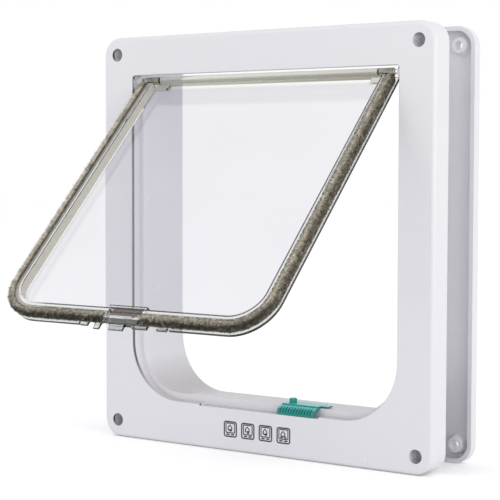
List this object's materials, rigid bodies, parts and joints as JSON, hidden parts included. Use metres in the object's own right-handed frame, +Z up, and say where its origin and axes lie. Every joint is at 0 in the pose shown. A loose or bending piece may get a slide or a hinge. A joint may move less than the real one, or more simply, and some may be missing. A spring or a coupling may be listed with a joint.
{
  "type": "cat flap",
  "caption": "White cat flap with a clear brush-edged swinging panel, magnetic closing and a sliding four-position lock, clamped through a door by two screwed frames.",
  "frame": {"origin": "centre of the four fixing screws, on the plane where the indoor frame meets the door", "axes": "+X to the right seen from indoors, +Y through the door from indoors to outdoors, +Z up"},
  "size_m": [0.235, 0.1795, 0.25],
  "materials": {
    "white_plastic": "glossy white",
    "clear_plastic": "clear, slightly grey",
    "magnet": "dark ferrite",
    "brush": "brown-grey pile",
    "teal_plastic": "glossy teal",
    "black_print": "printed black"
  },
  "bodies": {
    "frame": {"front_frame": "white_plastic", "sill_magnet": "magnet", "sill_magnet_cover": "white_plastic", "position_mark_1": "black_print", "position_mark_2": "black_print", "position_mark_3": "black_print", "position_mark_4": "black_print"},
    "outdoor_frame": {"rear_frame": "white_plastic"},
    "flap": {"flap_panel": "clear_plastic", "magnet_cap": "clear_plastic", "flap_magnet": "magnet", "hinge_pin_left": "clear_plastic", "hinge_pin_right": "clear_plastic", "brush_strip_left": "brush", "brush_strip_right": "brush"},
    "slider": {"lock_slider": "teal_plastic"}
  },
  "joints": [
    {"name": "flap_swing", "type": "hinge", "parent": "frame", "child": "flap", "pos_m": [0, -0.0075, 0.0979], "axis": [1, 0, 0], "range_deg": [-40, 124.5]},
    {"name": "lock_slide", "type": "slide", "parent": "frame", "child": "slider", "axis": [1, 0, 0], "range_m": [-0.03825, 0]},
    {"name": "door_adjust", "type": "slide", "parent": "frame", "child": "outdoor_frame", "axis": [0, 1, 0], "range_m": [-0.003, 0.0185]}
  ]
}
